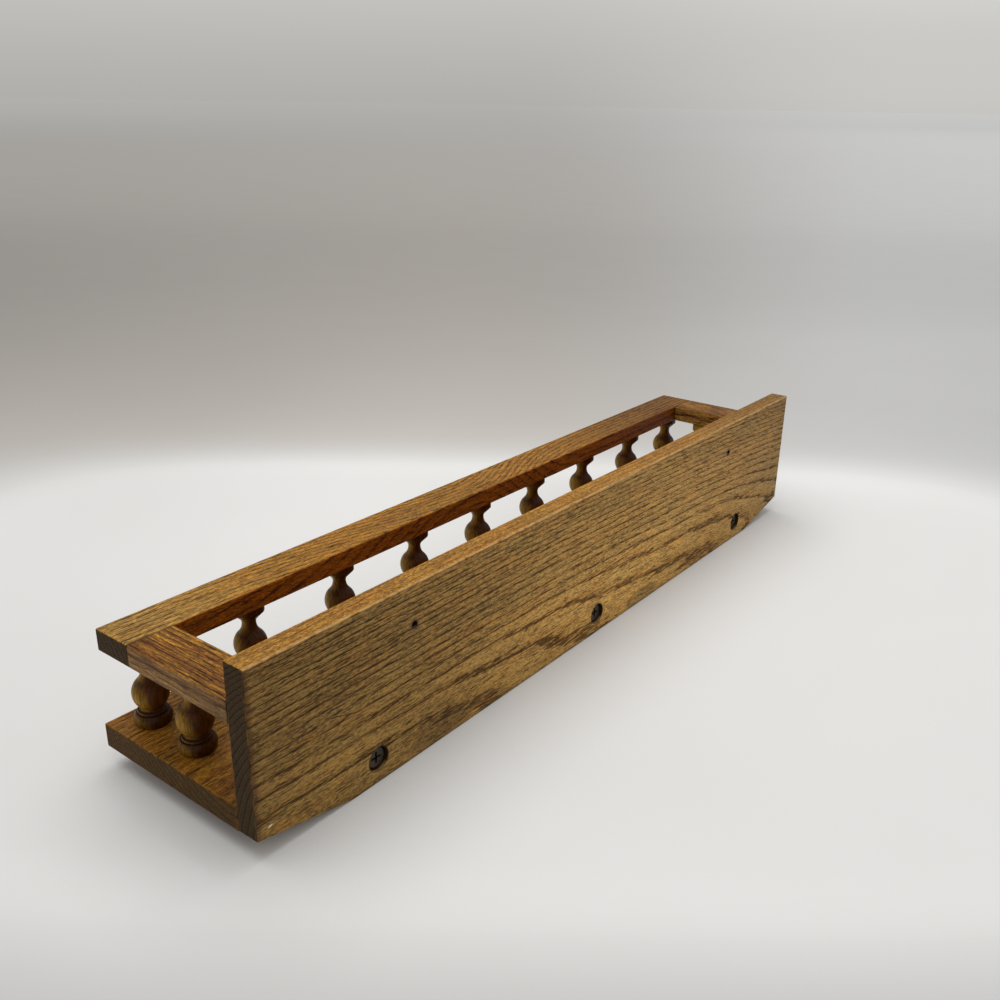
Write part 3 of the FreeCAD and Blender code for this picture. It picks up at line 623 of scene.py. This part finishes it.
def blackened_steel():
    """Old blackened screws, dull, with brown dust in the cross slot. Deeper down the recess they are painted near
    black, partly their own blackening and partly painted shade.
    """
    g = Graph("blackened_steel")
    x, y, z = g.position()
    nrm = g.normal()
    grime = g.noise(x / 1.2, y / 1.2, z / 1.2, detail=4.0, rough=0.65)
    scratch = g.noise(x / 0.5 + z / 3, z / 0.25, y, detail=2.0)
    # Painted near black deeper down the recess: blackening and painted shade.
    deep_blackening_and_shade = g.smooth(y, 41.5, 40.2)
    colour = g.mix(g.smooth(grime, 0.42, 0.66), srgb(42, 36, 28), srgb(72, 55, 34))
    colour = g.mix(deep_blackening_and_shade * 0.85, colour, srgb(20, 15, 11))
    height = grime * 0.5 + scratch * 0.2
    g.bump(height, 0.00010)
    roughness = 0.46 + (grime - 0.5) * 0.5
    return g.finish(colour, roughness, Metallic=0.3, Specular_IOR_Level=0.4)


def dowel_wood():
    g = Graph("dowel_beech")
    x, y, z = g.position()
    streak = g.noise(x / 0.5, y / 9, z / 0.5, detail=3.0)
    fleck = g.smooth(g.noise(x / 0.2, y / 1.6, z / 0.2, detail=1.0), 0.6, 0.72)
    colour = g.mix(streak, srgb(206, 170, 118), srgb(168, 126, 78))
    colour = g.mix(fleck * 0.4, colour, srgb(120, 80, 44))
    g.bump(streak - fleck * 0.5, 0.0001)
    return g.finish(colour, 0.6 + (streak - 0.5) * 0.2)


STEEL = blackened_steel()
DOWEL = dowel_wood()


def coat(node, material):
    """Gives a carried-over node its finish, in every slot it has."""
    for s in node.material_slots:
        s.link = "OBJECT"
        s.material = material
    if not node.material_slots:
        raise RuntimeError("a node without a material slot")


SIMPLE = {
    "back_board": OAK_BACK,
    "shelf_board": OAK_SHELF,
    "front_rail": OAK_FRONT,
    "side_rail_left": OAK_SIDE_L,
    "side_rail_right": OAK_SIDE_R,
    "shelf_screws": STEEL,
    "rail_dowels": DOWEL,
}
for i, name in enumerate(sorted(NODES)):
    if name in SIMPLE:
        coat(NODES[name], SIMPLE[name])
    else:
        lo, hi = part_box(name)
        c = (lo + hi) * 500.0
        coat(NODES[name], turned_wood("turned_" + name, c.x, c.y, 0.9 + 1.7 * i))


# ----------------------------------------------------------------------------
# Floor, light and camera
# ----------------------------------------------------------------------------


def floor():
    g = Graph("pale_floor_painted_light")
    x, y, z = g.position()
    mottled = g.noise(x / 90, y / 90, 1.0, detail=3.0)
    grain = g.noise(x / 1.3, y / 1.3, 2.0, detail=2.0)
    colour = g.mix(mottled, srgb(233, 233, 233), srgb(229, 229, 228))
    # Painted light and shade: the floor is painted bright round the object like a pool of light and
    # falls off to painted grey shade away from it, behind it along a straight line that runs square to away, and on
    # every other side likewise; far off it is painted pale again.
    away = x * -0.7922 - y * 0.6103
    across = y * 0.7884 - x * 0.6152
    out = g.math("SQRT", g.math("SQRT", away ** 4.0 + (across / 1.6) ** 4.0))
    painted_light_falloff = g.curve(
        out / (out + 400.0),
        [(0, 0.86), (0.16, 0.86), (0.31, 0.86), (0.331, 0.87), (0.354, 0.79), (0.376, 0.68), (0.398, 0.605),
         (0.419, 0.575), (0.462, 0.54), (0.523, 0.515), (0.60, 0.50), (0.676, 0.52), (0.73, 0.57),
         (0.781, 0.635), (0.832, 0.72), (0.88, 0.765), (0.935, 0.795), (0.9725, 0.83), (1.0, 0.89)],
        0.0, 1.2,
    )
    # Painted light: behind the object the floor is painted brighter towards one side, a little darker towards the
    # other and towards the near side.
    slant = g.maximum(g.minimum(across / g.maximum(away + 451.0, 200.0), 0.6), -0.6)
    painted_side_light = g.curve(
        slant,
        [(-0.6, 0.92), (-0.4, 0.93), (-0.05, 1.0), (0.04, 1.02), (0.12, 1.09), (0.19, 1.19), (0.27, 1.31),
         (0.38, 1.42), (0.6, 1.44)],
        0.8, 1.6,
    )
    behind = g.smooth(away, 60.0, 700.0) * g.smooth(out, 15000.0, 3500.0)
    painted_light_falloff = painted_light_falloff * (1.0 + (painted_side_light - 1.0) * behind) * g.smooth(away, -280.0, 60.0, 0.96, 1.0)
    # Painted shade: on one side, near the object, the floor is painted a little darker.
    painted_light_falloff = painted_light_falloff * (1.0 - g.smooth(across, -60.0, -280.0) * g.smooth(out, 800.0, 260.0) * 0.09)
    # Painted light: far off to one side the floor is painted brighter.
    reach = g.math("SQRT", x ** 2.0 + y ** 2.0) + 1.0
    painted_light_falloff = painted_light_falloff * (1.0 + g.smooth(across / reach, 0.0, 0.36) * g.smooth(out, 3500.0, 15000.0) * 0.30)
    colour = g.times(colour, painted_light_falloff)
    # Painted light: part of the floor beside and behind the object is painted a little warmer.
    warm = g.smooth(out, 190.0, 300.0) * g.smooth(slant, 0.38, -0.04) * g.smooth(out, 9000.0, 1500.0, 0.4, 1.0) * g.smooth(away, 0.0, 240.0)
    colour = g.mix(warm, colour, g.mix(1.0, colour, (1.02, 0.965, 0.91), "MULTIPLY"))
    g.bump(grain, 0.00004)
    material = g.finish(colour, 0.8 + (grain - 0.5) * 0.1, Specular_IOR_Level=0.0)
    mesh = bpy.data.meshes.new("floor")
    s = 60.0
    mesh.from_pydata([(-s, -s, 0), (s, -s, 0), (s, s, 0), (-s, s, 0)], [], [(0, 1, 2, 3)])
    mesh.materials.append(material)
    o = bpy.data.objects.new("floor", mesh)
    bpy.context.scene.collection.objects.link(o)


floor()


def area(name, where, at, size, power, colour):
    d = bpy.data.lights.new(name, "AREA")
    d.shape = "RECTANGLE"
    d.size, d.size_y = size
    d.energy = power
    d.color = colour
    o = bpy.data.objects.new(name, d)
    bpy.context.scene.collection.objects.link(o)
    o.location = where
    o.rotation_mode = "QUATERNION"
    o.rotation_quaternion = (Vector(at) - Vector(where)).to_track_quat("-Z", "Y")
    o.visible_camera = False
    return o


area("overhead", (0.03, -0.13, 0.88), (0.0, 0.0, 0.0), (1.1, 0.8), 6.2, (1.0, 0.985, 0.96))
area("fill", (-0.85, 0.95, 0.45), (-0.1, 0.0, 0.05), (0.7, 0.5), 1.3, (0.96, 0.98, 1.0))

world = bpy.data.worlds.new("studio")
bpy.context.scene.world = world
world.use_nodes = True
wt = world.node_tree
wt.nodes.clear()
out = wt.nodes.new("ShaderNodeOutputWorld")
back = wt.nodes.new("ShaderNodeBackground")
wt.links.new(back.outputs[0], out.inputs[0])
tex = wt.nodes.new("ShaderNodeTexCoord")
sep = wt.nodes.new("ShaderNodeSeparateXYZ")
wt.links.new(tex.outputs["Generated"], sep.inputs[0])
ramp = wt.nodes.new("ShaderNodeValToRGB")
wt.links.new(sep.outputs["Z"], ramp.inputs[0])
els = ramp.color_ramp.elements
els[0].position, els[0].color = 0.0, (0.44, 0.43, 0.41, 1)
els[1].position, els[1].color = 1.0, (0.62, 0.62, 0.62, 1)
for place, tone in ((0.035, (0.475, 0.468, 0.448, 1)), (0.10, (0.56, 0.557, 0.54, 1))):
    e = els.new(place)
    e.color = tone
wt.links.new(ramp.outputs[0], back.inputs["Color"])
# a little brighter towards one side
lean = wt.nodes.new("ShaderNodeVectorMath")
lean.operation = "DOT_PRODUCT"
wt.links.new(tex.outputs["Generated"], lean.inputs[0])
lean.inputs[1].default_value = (-0.6152, 0.7884, 0.0)
spread = wt.nodes.new("ShaderNodeMapRange")
spread.interpolation_type = "SMOOTHSTEP"
wt.links.new(lean.outputs["Value"], spread.inputs["Value"])
for key, number in (("From Min", 0.0), ("From Max", 0.36), ("To Min", 1.0)):
    spread.inputs[key].default_value = number
# most of all low down
low = wt.nodes.new("ShaderNodeMapRange")
low.interpolation_type = "SMOOTHSTEP"
wt.links.new(sep.outputs["Z"], low.inputs["Value"])
for key, number in (("From Min", 0.0), ("From Max", 0.07), ("To Min", 1.30), ("To Max", 1.17)):
    low.inputs[key].default_value = number
wt.links.new(low.outputs["Result"], spread.inputs["To Max"])
wt.links.new(spread.outputs["Result"], back.inputs["Strength"])

cam_data = bpy.data.cameras.new("camera")
cam = bpy.data.objects.new("camera", cam_data)
bpy.context.scene.collection.objects.link(cam)
cam_data.sensor_width = 36.0
cam_data.lens = 36.32
cam_data.clip_start, cam_data.clip_end = 0.01, 200.0
right = Vector((-0.615091, 0.788301, 0.015639))
down = Vector((0.280426, 0.237261, -0.930091))
forward = Vector((-0.736902, -0.567705, -0.366997))
pose = Matrix.Identity(4)
for i in range(3):
    pose[i][0], pose[i][1], pose[i][2] = right[i], -down[i], -forward[i]
pose.translation = Vector((0.365441, 0.265315, 0.234669))
cam.matrix_world = pose
bpy.context.scene.camera = cam

bpy.context.scene.view_settings.view_transform = "Standard"
bpy.context.scene.view_settings.look = "None"
